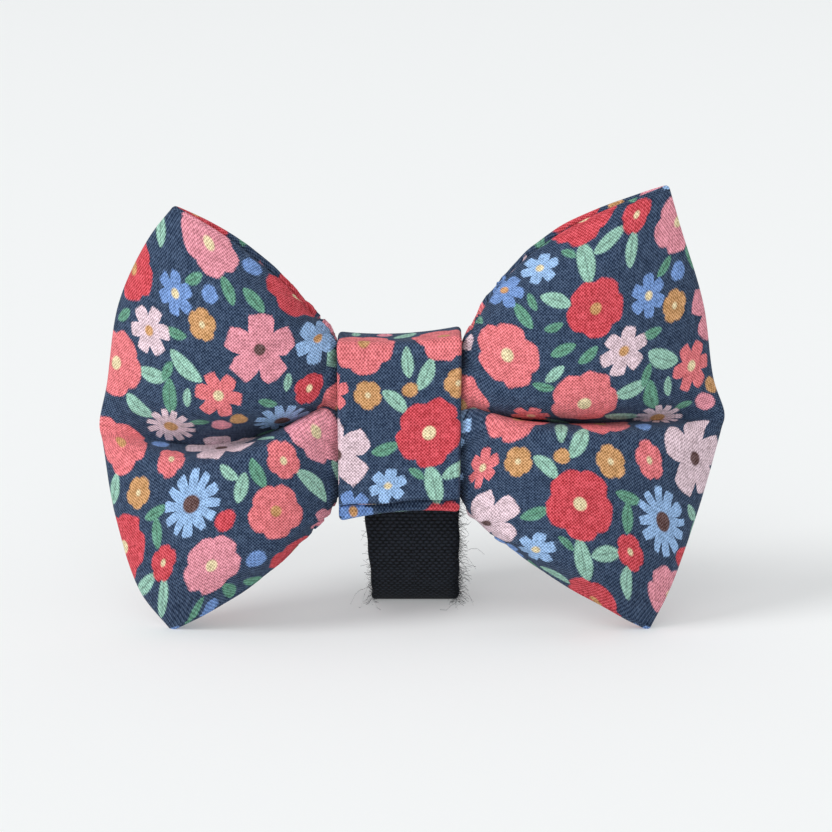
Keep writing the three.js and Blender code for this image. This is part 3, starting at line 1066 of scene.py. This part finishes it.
FUZZ_SEED = 7
FUZZ_RADIUS = 0.035
FUZZ_STEPS = 7  # points along a fibre
FIBRE_LEAST, FIBRE_SPREAD = 0.7, 2.6  # the shortest reach, and what chance adds to it at most
LEFT_REACH = 0.7  # of the right edge's, what chance adds on the left edge
ROOT_DEPTH = 1.1  # how far inside the tape's edge a fibre starts
LEFT_EDGE_IN = 1.0  # how far the tape's left edge is drawn in
FUZZ_RIGHT_SHARE = 0.74  # of the fibres, those on the tape's more worn edge
FUZZ_FROM, FUZZ_TO = 25.0, 60.0  # the stretch along the tape where its edges are worn
STRAY_SHARE = 0.05  # of the fibres, the long ones
STRAY_REACH = 1.9  # how many times longer they are


def fibre(chance, route, run):
    """A loose fibre's middle line, which leaves an edge of the tape and curls."""
    side = 1 if chance.random() < FUZZ_RIGHT_SHARE else -1
    at = chance.uniform(FUZZ_FROM, FUZZ_TO)
    reach = chance.betavariate(1.6, 3.2) * FIBRE_SPREAD * (1.0 if side > 0 else LEFT_REACH) + FIBRE_LEAST
    if chance.random() < STRAY_SHARE:
        reach *= STRAY_REACH
    edge_in = LEFT_EDGE_IN if side < 0 else 0.0
    across = STRAP["centre_x"] + side * (STRAP["width"] / 2 - ROOT_DEPTH) + edge_in
    start = np.array([across, *(np.interp(at, run, route[:, k]) for k in (0, 1))])
    way = np.array([side, chance.gauss(-0.2, 0.5), chance.gauss(-0.15, 0.55)])
    curl = np.array([chance.gauss(-0.5 * side, 0.5), chance.gauss(0, 0.6), chance.gauss(-0.2, 0.8)])
    twist, phase = chance.uniform(0.05, 0.22), chance.uniform(0, 6.3)  # of its reach, and in radians
    t = np.linspace(0, 1, FUZZ_STEPS)[:, None]
    line = start + reach * (way * t + curl * t * t)
    line[:, 1] += twist * reach * np.cos(phase + 7 * t[:, 0])
    line[:, 2] += twist * reach * np.sin(phase + 7 * t[:, 0])
    line[:, 2] = np.maximum(line[:, 2], FLOOR_DENT + FUZZ_RADIUS)
    return line


def fuzz_mesh(count):
    """Loose fibres as thin three-sided tubes, each closed at both ends."""
    chance = random.Random(FUZZ_SEED)
    route = loop_route()
    run = path_lengths(route)
    angles = (0, 2 * math.pi / 3, 4 * math.pi / 3)
    ring = [FUZZ_RADIUS * np.array([0.0, math.cos(a), math.sin(a)]) for a in angles]
    points, faces = [], []
    for _ in range(count):
        first = len(points)
        for place in fibre(chance, route, run):
            points.extend(place + corner for corner in ring)
        for j in range(FUZZ_STEPS - 1):
            a = first + 3 * j
            faces.extend([a + k, a + (k + 1) % 3, a + 3 + (k + 1) % 3, a + 3 + k] for k in range(3))
        last = first + 3 * (FUZZ_STEPS - 1)
        faces.extend([[first + 2, first + 1, first], [last, last + 1, last + 2]])
    mesh = bpy.data.meshes.new("tape_fuzz")
    mesh.from_pydata(placed(np.array(points)).tolist(), [], faces)
    mesh.validate()
    work = bmesh.new()
    work.from_mesh(mesh)
    bmesh.ops.recalc_face_normals(work, faces=work.faces)
    work.to_mesh(mesh)
    work.free()
    return mesh


class BOWTIE_OT_fuzz(bpy.types.Operator):
    """Pull loose fibres out of the tape's edges"""

    bl_idname = "bowtie.fuzz"
    bl_label = "Fuzz"

    def execute(self, context):
        scene = context.scene
        material, shader, _ = new_material("fuzz_nylon", 0.7, 0.0, 0.15)
        shader.inputs["Base Color"].default_value = (*scene.bow_tie_colours.tape, 1.0)
        new_piece(context, "tape_fuzz", fuzz_mesh(scene.bow_tie_sizes.fuzz_count), material, "loop_tape")
        return {"FINISHED"}


# Broad soft lights: name, where each stands in metres, its spread in degrees and its strength.
SUNS = (
    ("key", (-1.5, -0.9, 1.35), 26, 1.45),
    ("front", (-0.2, -1.5, 0.8), 50, 0.8),
)
WORLD_COLOUR = (0.975, 0.985, 0.99, 1.0)
WORLD_STRENGTH = 0.6
FLOOR_SIZE = 12  # metres
FLOOR_TONE = 0.80  # of the floor's colour, under the bow
FLOOR_PAINTED_GLOW = 0.22  # painted light: the floor glows by itself, which keeps the shadows on it pale
PAINTED_GLOW_COLOUR = (0.97, 0.985, 1.0, 1.0)
FLOOR_SHADE_FALL = 0.6  # painted shade: how soon the floor's colour darkens towards the back, per metre
FLOOR_SHADE_DEPTH = 0.06  # and by how much in all
VIEW_ELEVATION = 12  # degrees
VIEW_DISTANCE = 0.65
LENS, SENSOR = 140.6, 36  # millimetres
AIM_OFFSET = (0.0033, 0.0, 0.001)  # from the middle of the knot


class BOWTIE_OT_stage(bpy.types.Operator):
    """Set the floor, the soft lights and the camera"""

    bl_idname = "bowtie.stage"
    bl_label = "Stage"

    def execute(self, context):
        scene = context.scene
        bpy.ops.mesh.primitive_plane_add(size=FLOOR_SIZE)
        floor = context.object
        floor.name = "floor"
        paper, shader, wire = new_material("floor_paper", 0.9, 0.0, 0.1)
        # Painted shade: the floor's colour darkens towards the back.
        _, depth, _ = wire.node("ShaderNodeTexCoord", {}, {}, "Object").xyz()
        painted_shade = (depth * FLOOR_SHADE_FALL).clamped()
        tint = wire.plain(scene.bow_tie_colours.floor)
        tint.shaded(FLOOR_TONE - painted_shade * FLOOR_SHADE_DEPTH).into(shader.inputs["Base Color"])
        # Painted light: the floor glows though it is no lamp, which keeps the shadows on it pale.
        shader.inputs["Emission Color"].default_value = PAINTED_GLOW_COLOUR
        shader.inputs["Emission Strength"].default_value = FLOOR_PAINTED_GLOW
        floor.data.materials.append(paper)
        world = bpy.data.worlds.new("studio")
        world.use_nodes = True
        sky = world.node_tree.nodes["Background"].inputs
        sky["Color"].default_value = WORLD_COLOUR
        sky["Strength"].default_value = WORLD_STRENGTH
        scene.world = world
        for name, place, spread, strength in SUNS:
            light = bpy.data.lights.new(name, "SUN")
            light.angle = math.radians(spread)
            light.energy = strength
            lamp = bpy.data.objects.new(name, light)
            lamp.location = place
            lamp.rotation_euler = (-Vector(place)).to_track_quat("-Z", "Y").to_euler()
            scene.collection.objects.link(lamp)
        low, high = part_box("knot_band")
        target = (low + high) / 2 + Vector(AIM_OFFSET)
        slope = math.radians(VIEW_ELEVATION)
        back_off = Vector((0, -math.cos(slope), math.sin(slope))) * VIEW_DISTANCE
        lens = bpy.data.cameras.new("camera")
        lens.lens = LENS
        lens.sensor_width = SENSOR
        camera = bpy.data.objects.new("camera", lens)
        camera.location = target + back_off
        camera.rotation_euler = (-back_off).to_track_quat("-Z", "Y").to_euler()
        scene.collection.objects.link(camera)
        scene.camera = camera
        scene.view_settings.view_transform = "Standard"
        return {"FINISHED"}


class BOWTIE_PT_panel(bpy.types.Panel):
    bl_label = "Bow Tie"
    bl_idname = "BOWTIE_PT_panel"
    bl_space_type = "VIEW_3D"
    bl_region_type = "UI"
    bl_category = "Bow Tie"

    def draw(self, context):
        layout = self.layout
        for group in (context.scene.bow_tie_sizes, context.scene.bow_tie_colours):
            for key in group.__annotations__:
                layout.prop(group, key)
        for operator in OPERATORS:
            layout.operator(operator.bl_idname)


OPERATORS = (BOWTIE_OT_stage, BOWTIE_OT_bow, BOWTIE_OT_knot, BOWTIE_OT_tapes, BOWTIE_OT_fuzz)
CLASSES = (BowTieSizes, BowTieColours, *OPERATORS, BOWTIE_PT_panel)


def register():
    for kind in CLASSES:
        bpy.utils.register_class(kind)
    bpy.types.Scene.bow_tie_sizes = PointerProperty(type=BowTieSizes)
    bpy.types.Scene.bow_tie_colours = PointerProperty(type=BowTieColours)


def unregister():
    del bpy.types.Scene.bow_tie_colours
    del bpy.types.Scene.bow_tie_sizes
    for kind in reversed(CLASSES):
        bpy.utils.unregister_class(kind)


def main():
    register()
    bpy.ops.object.select_all(action="DESELECT")
    bpy.ops.bowtie.stage()
    bpy.ops.bowtie.bow()
    bpy.ops.bowtie.knot()
    bpy.ops.bowtie.tapes()
    bpy.ops.bowtie.fuzz()


if __name__ == "__main__":
    main()
